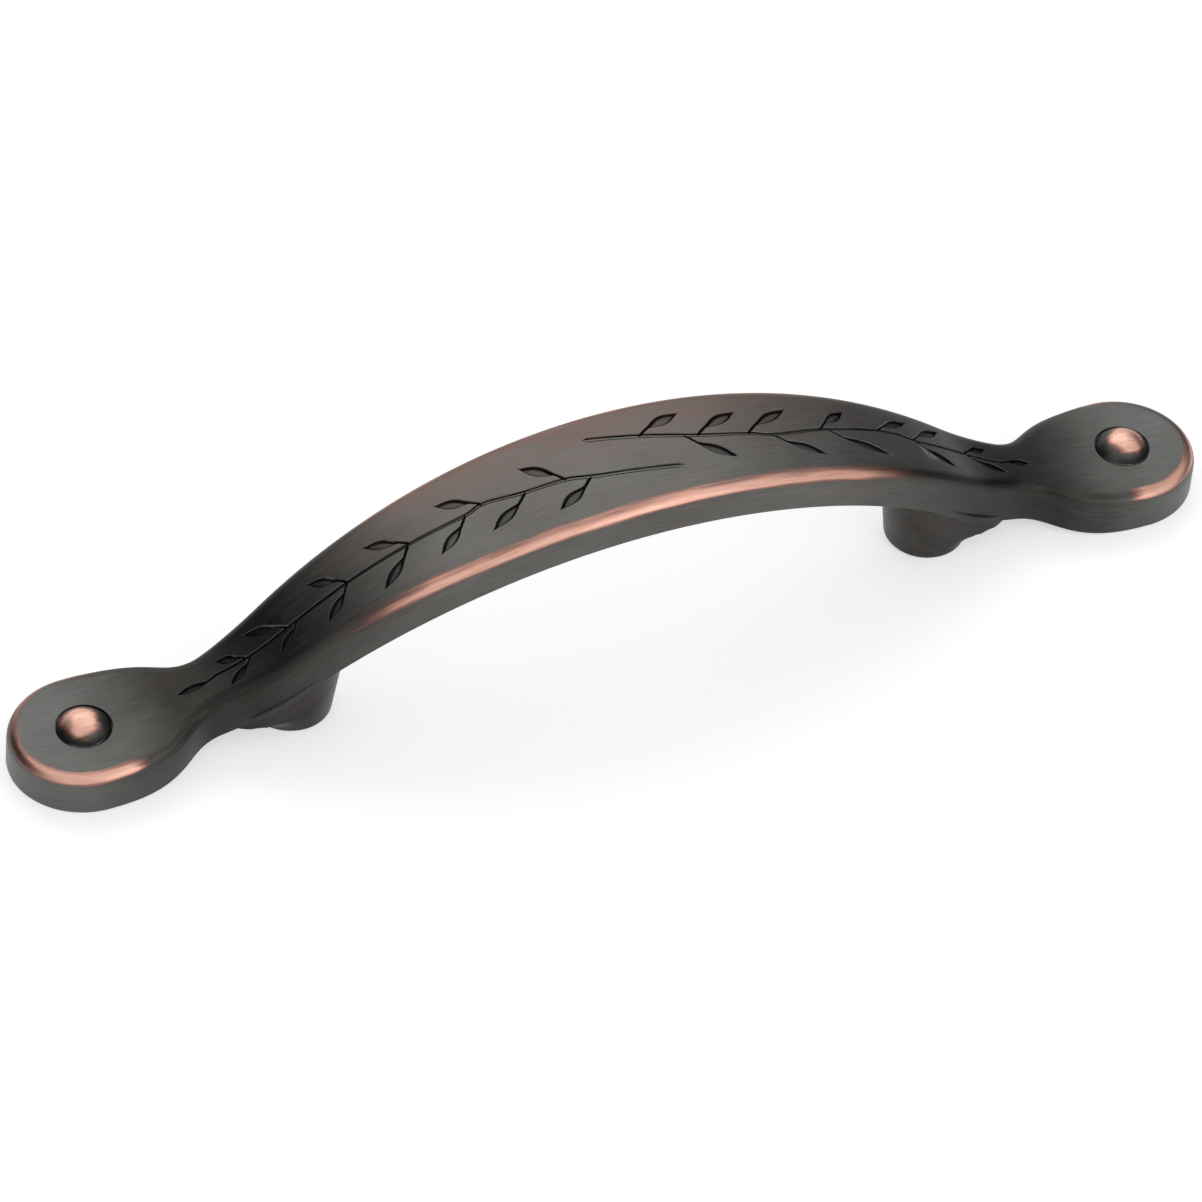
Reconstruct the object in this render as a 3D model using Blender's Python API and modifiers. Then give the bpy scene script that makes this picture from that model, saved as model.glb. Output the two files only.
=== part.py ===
"""Arched drawer pull with two engraved leaf sprigs, die-cast in one piece.

The pull lies along X. Its mounting plane, where the screw posts and the undersides of the heads
touch the drawer front, is Z = 0, and the grip arches up to +Z. Lengths are in metres.
"""

from math import asin, atan2, copysign, cos, pi, radians, sin, sqrt, tan

import bmesh
import bpy
import numpy as np
from mathutils import Vector
from mathutils.geometry import interpolate_bezier

MM = 0.001

# Driving sizes along the pull
SCREW_SPACING = 76.2 * MM
NECK_FROM_POST = 10.1 * MM
HEAD_FROM_NECK = 14.0 * MM
HEAD_NOSE = 8.3 * MM

# Driving sizes across the pull
BAR_WIDTH = 16.0 * MM
NECK_WIDTH = 7.6 * MM
HEAD_WIDTH = 16.0 * MM

# Driving sizes of the arch
PROJECTION = 24.5 * MM
BAR_THICKNESS = 4.3 * MM
HEAD_THICKNESS = 5.1 * MM
HEAD_FALL = 0.4 * MM
SWEEP_RADIUS = 33.5 * MM
TOP_SWEEP_INSET = 2.0 * MM
UNDER_SWEEP_INSET = 3.0 * MM

# Rounded edges
TOP_EDGE_RADIUS = 1.4 * MM
UNDER_EDGE_RADIUS = 0.35 * MM

# Fullness of the outline: handle lengths as shares of the stretch that they bend
HEAD_SHOULDER = 0.73
NECK_SHOULDER = 0.28
NECK_WAIST = 0.05
BAR_BELLY = 0.66
CIRCLE_HANDLE = 0.5523

# Screw posts, each drawn out into a web under the neck. The web's reach is from the post's centre, and its
# fullness makes its section squarer than an ellipse, so that it fills the width of the neck
POST_FOOT_DIAMETER = 9.0 * MM
POST_DRAFT = radians(7.0)
POST_FOOT_CHAMFER = 0.25 * MM
POST_SINK = 1.2 * MM
WEB_REACH = 9.0 * MM
WEB_FULLNESS = 0.45

# Tapped screw holes, bored to the thread's core
SCREW_HOLE_DIAMETER = 3.5 * MM
SCREW_HOLE_DEPTH = 8.5 * MM
DRILL_POINT_ANGLE = radians(118.0)

# Bead in its ring groove on each head
RING_DIAMETER = 6.3 * MM
RING_GROOVE_WIDTH = 0.22 * MM
RING_DEPTH = 0.5 * MM
BEAD_RISE = 1.5 * MM
BEAD_SKIRT = 0.1 * MM
BEAD_SINK = 0.4 * MM

# Engraved sprigs
STEM_WIDTH = 0.6 * MM
STEM_TIP_WIDTH = 0.35 * MM
STEM_DEPTH = 0.35 * MM
LEAF_WIDTH = 1.6 * MM
LEAF_WIDTH_AT_NECK = 1.15 * MM
LEAF_STALK_WIDTH = 0.45 * MM
LEAF_DEPTH = 0.45 * MM
LEAF_BEND = 0.05
LEAF_STALK_SHARE = 0.26
LEAF_FULLEST = 0.9
LEAF_POINT = 1.35

# Each half of the bar carries one sprig, whose stem starts beside the middle of the bar and whose tip
# lies in the neck. The first number of a point is its place between the middle (0) and the neck (1),
# the second its place between the centre line (0) and the bar's +Y side (1) or -Y side (-1).
# A leaf grows from its place along the stem to the point where its tip ends.
LEFT_STEM = (
    (-0.12, -0.36),
    (0.07, -0.17),
    (0.15, -0.05),
    (0.25, -0.01),
    (0.34, 0.09),
    (0.39, 0.03),
    (0.51, 0.03),
    (0.65, 0.01),
    (0.78, -0.05),
    (0.89, -0.09),
    (0.98, -0.03),
)
LEFT_LEAVES = (
    (0.095, (0.199, -0.54)),
    (0.149, (0.237, 0.44)),
    (0.245, (0.353, -0.45)),
    (0.342, (0.440, 0.455)),
    (0.386, (0.475, -0.46)),
    (0.517, (0.612, 0.46)),
    (0.523, (0.612, -0.56)),
    (0.666, (0.743, 0.52)),
    (0.668, (0.741, -0.555)),
    (0.788, (0.846, -0.52)),
    (0.809, (0.896, 0.57)),
    (0.896, (0.963, -0.62)),
    (0.905, (0.970, 0.40)),
    (0.975, (1.075, -0.03)),
)
RIGHT_STEM = (
    (-0.07, 0.52),
    (0.06, 0.33),
    (0.19, 0.14),
    (0.31, 0.05),
    (0.37, -0.01),
    (0.49, 0.07),
    (0.63, 0.16),
    (0.70, 0.16),
    (0.75, 0.06),
    (0.88, 0.08),
    (0.98, -0.04),
)
RIGHT_LEAVES = (
    (0.056, (0.176, 0.63)),
    (0.156, (0.255, -0.40)),
    (0.187, (0.309, 0.52)),
    (0.307, (0.436, 0.53)),
    (0.363, (0.477, -0.51)),
    (0.492, (0.585, 0.56)),
    (0.512, (0.651, -0.49)),
    (0.647, (0.749, 0.60)),
    (0.737, (0.835, 0.64)),
    (0.740, (0.828, -0.56)),
    (0.873, (0.952, 0.50)),
    (0.880, (0.975, -0.45)),
    (0.970, (1.050, -0.02)),
)

# Fineness of the facets
NOSE_STEPS = 12
SHOULDER_STEPS = 9
BAR_STEPS = 22
EDGE_STEPS = 4
POST_SIDES = 40
POST_RINGS = 9
HOLE_SIDES = 24
BEAD_SIDES = 36
BEAD_STEPS = 7
LEAF_STEPS = 7
STEM_STEPS = 2
ENGRAVING_SLICE = 2.5 * MM

# Working sizes: a blank before it is shaped, a cutter's run past the surface, and the welding distances
BLANK_THICKNESS = 2.0 * MM
CUT_CLEARANCE = 1.0 * MM
WELD_DISTANCE = 0.001 * MM
SLICE_DISTANCE = 0.01 * MM

# Sizes that follow from the driving ones
post_x = SCREW_SPACING / 2
neck_x = post_x + NECK_FROM_POST
head_x = neck_x + HEAD_FROM_NECK
half_length = head_x + HEAD_NOSE
post_foot_radius = POST_FOOT_DIAMETER / 2
ring_radius = RING_DIAMETER / 2
bead_radius = ring_radius - RING_GROOVE_WIDTH


def arch_height(x, apex, reach, end_height):
    """Height of an arc that sweeps out through a fillet to end_height at x = reach."""
    rise = apex - end_height
    arch_radius = (reach ** 2 + rise ** 2) / (2 * rise) - SWEEP_RADIUS
    handover = reach * arch_radius / (arch_radius + SWEEP_RADIUS)
    along = abs(x)
    if along <= handover:
        return apex - arch_radius + sqrt(arch_radius ** 2 - along ** 2)
    if along <= reach:
        return end_height + SWEEP_RADIUS - sqrt(SWEEP_RADIUS ** 2 - (reach - along) ** 2)
    return end_height


def top_height(x):
    """Height of the top face, which falls a little towards the end of each head."""
    reach = head_x - TOP_SWEEP_INSET
    beyond = max(0.0, abs(x) - reach)
    return arch_height(x, PROJECTION, reach, HEAD_THICKNESS) - HEAD_FALL * beyond / (half_length - reach)


def under_height(x):
    """Height of the underside, which meets the mounting plane under each head."""
    return arch_height(x, PROJECTION - BAR_THICKNESS, head_x - UNDER_SWEEP_INSET, 0.0)


def bezier_points(start, start_handle, end_handle, end, steps):
    """Points of one Bezier stretch, without its last point."""
    return interpolate_bezier(start, start_handle, end_handle, end, steps + 1)[:-1]


def quarter_outline():
    """Plan outline from the nose of the +X head to the middle of the bar's +Y side."""
    nose = Vector((half_length, 0, 0))
    head_side = Vector((head_x, HEAD_WIDTH / 2, 0))
    neck = Vector((neck_x, NECK_WIDTH / 2, 0))
    middle = Vector((0, BAR_WIDTH / 2, 0))
    along = Vector((1, 0, 0))
    across = Vector((0, 1, 0))
    points = bezier_points(
        nose,
        nose + across * CIRCLE_HANDLE * HEAD_WIDTH / 2,
        head_side + along * CIRCLE_HANDLE * HEAD_NOSE,
        head_side,
        NOSE_STEPS,
    )
    points += bezier_points(
        head_side,
        head_side - along * HEAD_SHOULDER * HEAD_FROM_NECK,
        neck + along * NECK_SHOULDER * HEAD_FROM_NECK,
        neck,
        SHOULDER_STEPS,
    )
    points += bezier_points(
        neck,
        neck - along * NECK_WAIST * neck_x,
        middle + along * BAR_BELLY * neck_x,
        middle,
        BAR_STEPS,
    )
    return [(point.x, point.y) for point in points] + [(0.0, BAR_WIDTH / 2)]


def whole_outline():
    """Closed plan outline, mirrored from its quarter."""
    quarter = quarter_outline()
    half = quarter + [(-x, y) for x, y in reversed(quarter[:-1])]
    return half + [(x, -y) for x, y in reversed(half[1:-1])]


def half_width(x):
    """Half the width of the pull at a place along it."""
    quarter = quarter_outline()[::-1]
    return float(np.interp(abs(x), [p[0] for p in quarter], [p[1] for p in quarter]))


def new_collection(name):
    collection = bpy.data.collections.new(name)
    bpy.context.scene.collection.children.link(collection)
    return collection


def add_mesh_object(name, bm, collection):
    """Turn a bmesh into an object of the collection."""
    bmesh.ops.recalc_face_normals(bm, faces=bm.faces)
    mesh = bpy.data.meshes.new(name)
    bm.to_mesh(mesh)
    bm.free()
    item = bpy.data.objects.new(name, mesh)
    collection.objects.link(item)
    return item


def plate(points):
    """Closed flat plate with the given plan outline, its two faces each one polygon."""
    curve = bpy.data.curves.new("outline", "CURVE")
    curve.dimensions = "2D"
    curve.fill_mode = "BOTH"
    curve.extrude = BLANK_THICKNESS / 2
    spline = curve.splines.new("POLY")
    spline.points.add(len(points) - 1)
    for spline_point, (x, y) in zip(spline.points, points):
        spline_point.co = (x, y, 0, 1)
    spline.use_cyclic_u = True
    holder = bpy.data.objects.new("outline", curve)
    bpy.context.scene.collection.objects.link(holder)
    depsgraph = bpy.context.evaluated_depsgraph_get()
    mesh = bpy.data.meshes.new_from_object(holder.evaluated_get(depsgraph))
    bpy.data.objects.remove(holder)
    bpy.data.curves.remove(curve)
    bm = bmesh.new()
    bm.from_mesh(mesh)
    bpy.data.meshes.remove(mesh)
    bmesh.ops.remove_doubles(bm, verts=bm.verts, dist=WELD_DISTANCE)
    for side in (1, -1):
        flat_faces = [face for face in bm.faces if face.normal.z * side > 0.9]
        bmesh.ops.dissolve_faces(bm, faces=flat_faces)
    return bm


def slice_across(bm, places):
    """Cut the faces at each place along X, so that they can follow the arch."""
    for x in places:
        geometry = bm.verts[:] + bm.edges[:] + bm.faces[:]
        bmesh.ops.bisect_plane(
            bm, geom=geometry, dist=SLICE_DISTANCE, plane_co=(x, 0, 0), plane_no=(1, 0, 0)
        )


def round_rim(bm, upward, radius, steps):
    """Round the edges between the side wall and the faces that look up (or down)."""
    rim = []
    for edge in bm.edges:
        tilts = sorted(face.normal.z * upward for face in edge.link_faces)
        if tilts[0] < 0.3 and tilts[-1] > 0.6:
            rim.append(edge)
    bmesh.ops.bevel(
        bm,
        geom=rim,
        offset=radius,
        offset_type="OFFSET",
        segments=steps,
        profile=0.5,
        affect="EDGES",
        clamp_overlap=False,
    )


def make_bar(collection):
    """Bar, necks and heads: the plan outline, sliced at each of its points and bent to the arch."""
    outline = whole_outline()
    bm = plate(outline)
    slice_across(bm, sorted({round(x, 9) for x, y in outline}))
    for vert in bm.verts:
        vert.co.z = top_height(vert.co.x) if vert.co.z > 0 else under_height(vert.co.x)
    bm.normal_update()
    round_rim(bm, 1, TOP_EDGE_RADIUS, EDGE_STEPS)
    bm.normal_update()
    round_rim(bm, -1, UNDER_EDGE_RADIUS, 1)
    return add_mesh_object("drawer_pull", bm, collection)


def web_reach(height):
    """How far the post and its web reach towards the neck at a height, along a hollow sweep."""
    share = min(height / under_height(post_x + WEB_REACH), 1.0)
    return post_foot_radius + (WEB_REACH - post_foot_radius) * (1 - sqrt(1 - share ** 2))


def post_point(side, angle, height):
    """Point on the wall of a post, which is round at the foot and drawn out towards the neck higher up."""
    radius = post_foot_radius + height * tan(POST_DRAFT)
    reach = max(radius, web_reach(height))
    if cos(angle) <= 0:
        return Vector((side * (post_x + radius * cos(angle)), radius * sin(angle), height))
    drawn_out = (reach - radius) / (WEB_REACH - post_foot_radius)
    power = 1 - WEB_FULLNESS * drawn_out
    x = reach * cos(angle) ** power
    y = copysign(radius * abs(sin(angle)) ** power, sin(angle))
    return Vector((side * (post_x + x), y, height))


def make_post(side, collection):
    """Screw post with its web, lofted in rings from the foot up into the bar."""
    bm = bmesh.new()
    bmesh.ops.create_cone(
        bm,
        cap_ends=True,
        segments=POST_SIDES,
        radius1=post_foot_radius,
        radius2=post_foot_radius,
        depth=BLANK_THICKNESS,
    )
    foot_rim = [edge for edge in bm.edges if all(vert.co.z < 0 for vert in edge.verts)]
    for ring in range(1, POST_RINGS):
        bmesh.ops.bisect_plane(
            bm,
            geom=bm.verts[:] + bm.edges[:] + bm.faces[:],
            dist=SLICE_DISTANCE,
            plane_co=(0, 0, BLANK_THICKNESS * (ring / POST_RINGS - 0.5)),
            plane_no=(0, 0, 1),
        )
    for vert in bm.verts:
        angle = atan2(vert.co.y, side * vert.co.x)
        share = vert.co.z / BLANK_THICKNESS + 0.5
        point = post_point(side, angle, 0.0)
        for _ in range(20):
            point = post_point(side, angle, share * (under_height(point.x) + POST_SINK))
        vert.co = point
    bmesh.ops.bevel(bm, geom=foot_rim, offset=POST_FOOT_CHAMFER, segments=1, affect="EDGES")
    return add_mesh_object("post", bm, collection)


def turned(name, profile, sides, centre, collection):
    """Solid of revolution about a vertical line through centre, from an outer profile."""
    bm = bmesh.new()
    verts = [bm.verts.new((radius, 0, height)) for radius, height in profile]
    for first, second in zip(verts, verts[1:]):
        bm.edges.new((first, second))
    item = add_mesh_object(name, bm, collection)
    item.location = centre
    screw = item.modifiers.new("turn", "SCREW")
    screw.steps = sides
    screw.render_steps = sides
    screw.use_merge_vertices = True
    screw.merge_threshold = SLICE_DISTANCE
    screw.use_smooth_shade = True
    return item


def make_ring_recess(side, collection):
    """Round recess whose rim is the outer edge of the ring groove."""
    top = CUT_CLEARANCE
    profile = [(0, top), (ring_radius, top), (ring_radius, -RING_DEPTH), (0, -RING_DEPTH)]
    centre = (side * head_x, 0, top_height(head_x))
    return turned("ring_recess", profile, BEAD_SIDES, centre, collection)


def make_bead(side, collection):
    """Domed bead that stands in the recess and leaves the ring groove free."""
    cap_height = BEAD_RISE + RING_DEPTH - BEAD_SKIRT
    sphere_radius = (bead_radius ** 2 + cap_height ** 2) / (2 * cap_height)
    half_angle = asin(min(1.0, bead_radius / sphere_radius))
    profile = []
    for step in range(BEAD_STEPS + 1):
        angle = half_angle * step / BEAD_STEPS
        height = BEAD_RISE - sphere_radius * (1 - cos(angle))
        profile.append((sphere_radius * sin(angle), height))
    profile.append((bead_radius, -RING_DEPTH - BEAD_SINK))
    profile.append((0, -RING_DEPTH - BEAD_SINK))
    centre = (side * head_x, 0, top_height(head_x))
    bead = turned("bead", profile, BEAD_SIDES, centre, collection)
    bead.rotation_euler.z = pi / BEAD_SIDES
    return bead


def make_screw_hole(side, collection):
    """Bore with a drill point, open at the foot of the post."""
    radius = SCREW_HOLE_DIAMETER / 2
    point_height = radius / tan(DRILL_POINT_ANGLE / 2)
    profile = [
        (0, SCREW_HOLE_DEPTH + point_height),
        (radius, SCREW_HOLE_DEPTH),
        (radius, -CUT_CLEARANCE),
        (0, -CUT_CLEARANCE),
    ]
    return turned("screw_hole", profile, HOLE_SIDES, (side * post_x, 0, 0), collection)


def on_bar(side, along, across):
    """Plan point at shares of the way to the neck and to the bar's side, on one half of the bar."""
    x = side * along * neck_x
    return Vector((x, across * half_width(x), 0))


def smooth_path(points, steps):
    """Points of a smooth curve through the given points."""
    path = []
    last = len(points) - 1
    for index in range(last):
        before = points[max(index - 1, 0)]
        start = points[index]
        end = points[index + 1]
        after = points[min(index + 2, last)]
        path += bezier_points(start, start + (end - before) / 6, end - (after - start) / 6, end, steps)
    return path + [points[-1]]


def ribbon_outline(path, half_widths):
    """Outline around a path, with its own half width at each point."""
    left = []
    right = []
    for index, point in enumerate(path):
        ahead = path[min(index + 1, len(path) - 1)]
        behind = path[max(index - 1, 0)]
        direction = (ahead - behind).normalized()
        normal = Vector((-direction.y, direction.x, 0)) * half_widths[index]
        left.append(point + normal)
        if half_widths[index] > 0:
            right.append(point - normal)
    return [(point.x, point.y) for point in left + right[::-1]]


def stem_outline(stem):
    """Outline of a stem, narrower towards the tip of the sprig."""
    last = len(stem) - 1
    widths = [STEM_WIDTH + (STEM_TIP_WIDTH - STEM_WIDTH) * index / last for index in range(last + 1)]
    return ribbon_outline(stem, [width / 2 for width in widths])


def point_on_stem(stem, x):
    """The stem's point at a place along the pull."""
    ordered = sorted((point.x, point.y) for point in stem)
    y = float(np.interp(x, [point[0] for point in ordered], [point[1] for point in ordered]))
    return Vector((x, y, 0))


def leaf_outline(root, tip):
    """Outline of a leaf: a thin stalk that leaves the stem steeply, then a pointed oval blade.

    The blades get narrower towards the neck.
    """
    chord = tip - root
    outward = Vector((-chord.y, chord.x, 0))
    if outward.y * chord.y < 0:
        outward = -outward
    blade_start = root + chord * LEAF_STALK_SHARE + outward * LEAF_BEND
    stalk = LEAF_STALK_WIDTH / 2
    blade = (LEAF_WIDTH + (LEAF_WIDTH_AT_NECK - LEAF_WIDTH) * abs(tip.x) / neck_x) / 2
    path = [root]
    widths = [stalk]
    for step in range(LEAF_STEPS + 1):
        share = step / LEAF_STEPS
        path.append(blade_start.lerp(tip, share))
        narrow = stalk * (1 - share)
        widths.append(narrow + (blade - narrow) * sin(pi * share ** LEAF_FULLEST) ** LEAF_POINT)
    widths[-1] = 0.0
    return ribbon_outline(path, widths)


def sprig_outlines(side, stem_points, leaves):
    """Outlines of the stem, of the leaves on its -Y side and of the leaves on its +Y side."""
    stem = smooth_path([on_bar(side, along, across) for along, across in stem_points], STEM_STEPS)
    lower = []
    upper = []
    for root_along, tip_place in leaves:
        root = point_on_stem(stem, side * root_along * neck_x)
        tip = on_bar(side, *tip_place)
        leaf = leaf_outline(root, tip)
        if tip.y < root.y:
            lower.append(leaf)
        else:
            upper.append(leaf)
    return stem_outline(stem), lower, upper


def engraving_cutter(name, outlines, depth, collection):
    """Plates with the given outlines, whose floors follow the top of the bar at one depth."""
    joined = bmesh.new()
    for outline in outlines:
        bm = plate(outline)
        left = min(x for x, y in outline)
        right = max(x for x, y in outline)
        slices = int((right - left) / ENGRAVING_SLICE)
        slice_across(bm, [left + (right - left) * (step + 1) / (slices + 1) for step in range(slices)])
        for vert in bm.verts:
            offset = CUT_CLEARANCE if vert.co.z > 0 else -depth
            vert.co.z = top_height(vert.co.x) + offset
        mesh = bpy.data.meshes.new("plate")
        bm.to_mesh(mesh)
        bm.free()
        joined.from_mesh(mesh)
        bpy.data.meshes.remove(mesh)
    return add_mesh_object(name, joined, collection)


def combine(body, tool, operation):
    """Add a tool to the body, or cut it from the body, with a Boolean modifier."""
    tool.hide_render = True
    tool.display_type = "WIRE"
    boolean = body.modifiers.new(tool.name, "BOOLEAN")
    boolean.operation = operation
    boolean.solver = "EXACT"
    boolean.object = tool


def dark_bronze():
    """Dark bronze finish, brushed."""
    material = bpy.data.materials.new("dark_bronze")
    material.use_nodes = True
    shader = material.node_tree.nodes["Principled BSDF"]
    shader.inputs["Base Color"].default_value = (0.06, 0.05, 0.045, 1)
    shader.inputs["Metallic"].default_value = 1.0
    shader.inputs["Roughness"].default_value = 0.38
    material.diffuse_color = (0.06, 0.05, 0.045, 1)
    return material


def main():
    for item in list(bpy.data.objects):
        bpy.data.objects.remove(item)
    pull_parts = new_collection("drawer pull")
    tools = new_collection("cutters")
    body = make_bar(pull_parts)
    for side in (1, -1):
        combine(body, make_post(side, tools), "UNION")
        combine(body, make_screw_hole(side, tools), "DIFFERENCE")
        combine(body, make_ring_recess(side, tools), "DIFFERENCE")
        combine(body, make_bead(side, tools), "UNION")
    left_sprig = sprig_outlines(-1, LEFT_STEM, LEFT_LEAVES)
    right_sprig = sprig_outlines(1, RIGHT_STEM, RIGHT_LEAVES)
    stems = [left_sprig[0], right_sprig[0]]
    lower_leaves = left_sprig[1] + right_sprig[1]
    upper_leaves = left_sprig[2] + right_sprig[2]
    combine(body, engraving_cutter("lower_leaves", lower_leaves, LEAF_DEPTH, tools), "DIFFERENCE")
    combine(body, engraving_cutter("upper_leaves", upper_leaves, LEAF_DEPTH, tools), "DIFFERENCE")
    combine(body, engraving_cutter("stems", stems, STEM_DEPTH, tools), "DIFFERENCE")
    body.data.materials.append(dark_bronze())


main()
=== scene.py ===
# %% [markdown]
# An arched drawer pull is cast in one piece, plated with copper, darkened to a brown bronze and then
# brushed, so that the copper shows again where a hand would rub it. The CAD model gives every size.
# This script loads that model as a fixed frame and dresses it: it models the same casting again with
# finer edges and carving, gives it its finish, and sets it in a plain studio.

# %% The CAD frame
from math import atan2, cos, pi, radians, sin, sqrt, tan

import bmesh
import bpy
import numpy as np
from mathutils import Matrix, Vector


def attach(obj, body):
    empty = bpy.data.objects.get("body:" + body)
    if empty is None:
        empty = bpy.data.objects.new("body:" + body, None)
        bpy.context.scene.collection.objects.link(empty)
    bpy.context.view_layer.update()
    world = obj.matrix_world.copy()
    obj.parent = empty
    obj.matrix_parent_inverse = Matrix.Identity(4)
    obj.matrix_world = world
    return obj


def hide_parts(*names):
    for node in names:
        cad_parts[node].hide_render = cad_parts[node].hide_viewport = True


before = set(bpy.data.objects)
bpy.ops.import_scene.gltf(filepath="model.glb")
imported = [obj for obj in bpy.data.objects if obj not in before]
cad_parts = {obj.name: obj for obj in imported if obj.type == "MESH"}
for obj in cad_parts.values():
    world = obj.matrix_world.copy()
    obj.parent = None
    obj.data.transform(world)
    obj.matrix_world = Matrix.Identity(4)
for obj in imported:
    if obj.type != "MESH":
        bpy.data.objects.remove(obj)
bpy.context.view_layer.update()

# %% [markdown]
# All lengths below are written in millimetres times MM, because Blender works in metres here. They are
# the casting's own sizes, so the new surface lies where the CAD surface lies. The top and the underside
# are arcs that sweep out through a fillet into the heads, and the fillets end a little short of the
# heads' centres.

# %% Sizes of the casting
MM = 0.001
POST_X = 38.1 * MM
NECK_X = 48.2 * MM
HEAD_X = 62.2 * MM
HALF_LENGTH = 70.5 * MM
BAR_WIDTH = 16.0 * MM
NECK_WIDTH = 7.6 * MM
HEAD_WIDTH = 16.0 * MM
PROJECTION = 24.5 * MM
BAR_THICKNESS = 4.3 * MM
HEAD_THICKNESS = 5.1 * MM
HEAD_FALL = 0.4 * MM
SWEEP_RADIUS = 33.5 * MM
TOP_SWEEP_INSET = 2.0 * MM
UNDER_SWEEP_INSET = 3.0 * MM
TOP_REACH = HEAD_X - TOP_SWEEP_INSET
UNDER_REACH = HEAD_X - UNDER_SWEEP_INSET


def arch_height(x, apex, reach, end_height):
    """Height of an arc that sweeps out through a fillet to end_height at x = reach."""
    rise = apex - end_height
    radius = (reach ** 2 + rise ** 2) / (2 * rise) - SWEEP_RADIUS
    handover = reach * radius / (radius + SWEEP_RADIUS)
    along = np.abs(x)
    arc = apex - radius + np.sqrt(np.maximum(radius ** 2 - along ** 2, 0))
    inward = np.clip(reach - along, 0, SWEEP_RADIUS)
    fillet = end_height + SWEEP_RADIUS - np.sqrt(SWEEP_RADIUS ** 2 - inward ** 2)
    return np.where(along <= handover, arc, fillet)


def top_height(x):
    fall = HEAD_FALL * np.maximum(np.abs(x) - TOP_REACH, 0) / (HALF_LENGTH - TOP_REACH)
    return arch_height(x, PROJECTION, TOP_REACH, HEAD_THICKNESS) - fall


def under_height(x):
    return arch_height(x, PROJECTION - BAR_THICKNESS, UNDER_REACH, 0.0)


crest = [round(float(height(0.0)) / MM, 2) for height in (top_height, under_height)]
print("arch: top", crest[0], "mm, underside", crest[1], "mm")

# %% [markdown]
# Blender's operators act on what is selected, so small helpers keep the selection in hand: one makes an
# object the only selected one, and one picks parts of a mesh by a test on their place. The others apply a
# modifier as soon as it is set, read and write the places of all points at once, and join or cut solids.

# %% Selection and mesh helpers
HAIR = 0.002 * MM


def select_only(item):
    bpy.ops.object.select_all(action="DESELECT")
    item.select_set(True)
    bpy.context.view_layer.objects.active = item


def pick(item, kind, test):
    """In edit mode, select only the verts, edges or faces that pass the test."""
    bpy.ops.mesh.select_mode(type=kind[:-1].upper())
    bpy.ops.mesh.select_all(action="DESELECT")
    bm = bmesh.from_edit_mesh(item.data)
    chosen = [element for element in getattr(bm, kind) if test(element)]
    for element in chosen:
        element.select_set(True)
    bm.select_flush_mode()
    bmesh.update_edit_mesh(item.data)
    return len(chosen)


def apply_modifier(item, kind, **settings):
    select_only(item)
    modifier = item.modifiers.new(kind.lower(), kind)
    for name, value in settings.items():
        setattr(modifier, name, value)
    bpy.ops.object.modifier_apply(modifier=modifier.name)


def vertex_places(item):
    places = np.empty(len(item.data.vertices) * 3)
    item.data.vertices.foreach_get("co", places)
    return places.reshape(-1, 3)


def move_vertices(item, places):
    item.data.vertices.foreach_set("co", places.ravel())
    item.data.update()


def combine(body, tool, operation):
    """Join a tool to the body or cut it away, then delete the tool."""
    apply_modifier(body, "BOOLEAN", object=tool, operation=operation, solver="EXACT")
    bpy.data.objects.remove(tool)


# %% [markdown]
# Seen from above, the pull is two round heads, two slim necks and a bar that swells in the middle. A
# Bezier circle already is a closed, smooth loop, so it is cut into twelve points, and each point is
# given its place and its two handles. Long handles make full curves, short ones make tight curves. The
# handles are shares of the stretch that they bend.

# %% Plan outline
CIRCLE_HANDLE = 0.5523
HEAD_SHOULDER = 0.73
NECK_SHOULDER = 0.28
NECK_WAIST = 0.05
BAR_BELLY = 0.66
OUTLINE_STEPS = 32

bpy.ops.object.select_all(action="DESELECT")
bpy.ops.curve.primitive_bezier_circle_add(radius=HALF_LENGTH)
outline = bpy.context.active_object
bpy.ops.object.mode_set(mode="EDIT")
bpy.ops.curve.select_all(action="SELECT")
bpy.ops.curve.subdivide(number_cuts=2)
bpy.ops.object.mode_set(mode="OBJECT")

# Place on the left half of the upper edge, then the lengths of the handles before and after it
neck_gap = HEAD_X - NECK_X
stations = (
    (HALF_LENGTH, 0.0, 0.0, 0.0),
    (HEAD_X, HEAD_WIDTH / 2, CIRCLE_HANDLE * (HALF_LENGTH - HEAD_X), HEAD_SHOULDER * neck_gap),
    (NECK_X, NECK_WIDTH / 2, NECK_SHOULDER * neck_gap, NECK_WAIST * NECK_X),
    (0.0, BAR_WIDTH / 2, BAR_BELLY * NECK_X, BAR_BELLY * NECK_X),
)
loop = [(-x, y, before, after) for x, y, before, after in stations]
loop += [(x, y, after, before) for x, y, before, after in stations[2::-1]]
loop += [(x, -y, -before, -after) for x, y, before, after in stations[1:]]
loop += [(-x, -y, -after, -before) for x, y, before, after in stations[2:0:-1]]
for point, (x, y, before, after) in zip(outline.data.splines[0].bezier_points, loop):
    point.handle_left_type = point.handle_right_type = "FREE"
    point.co = (x, y, 0)
    point.handle_left = (x - before, y, 0)
    point.handle_right = (x + after, y, 0)
    if y == 0:
        rise = CIRCLE_HANDLE * HEAD_WIDTH / 2 * (1 if x < 0 else -1)
        point.handle_left = (x, -rise, 0)
        point.handle_right = (x, rise, 0)
outline.data.dimensions = "2D"
outline.data.fill_mode = "NONE"
outline.data.splines[0].resolution_u = OUTLINE_STEPS
select_only(outline)
bpy.ops.object.convert(target="MESH")
rim = vertex_places(outline)[:, :2]
upper_rim = rim[rim[:, 1] >= -HAIR]
upper_rim = upper_rim[np.argsort(upper_rim[:, 0])]


def half_width(x):
    """Half the width of the pull at a place along it."""
    return np.interp(x, upper_rim[:, 0], upper_rim[:, 1])


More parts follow.
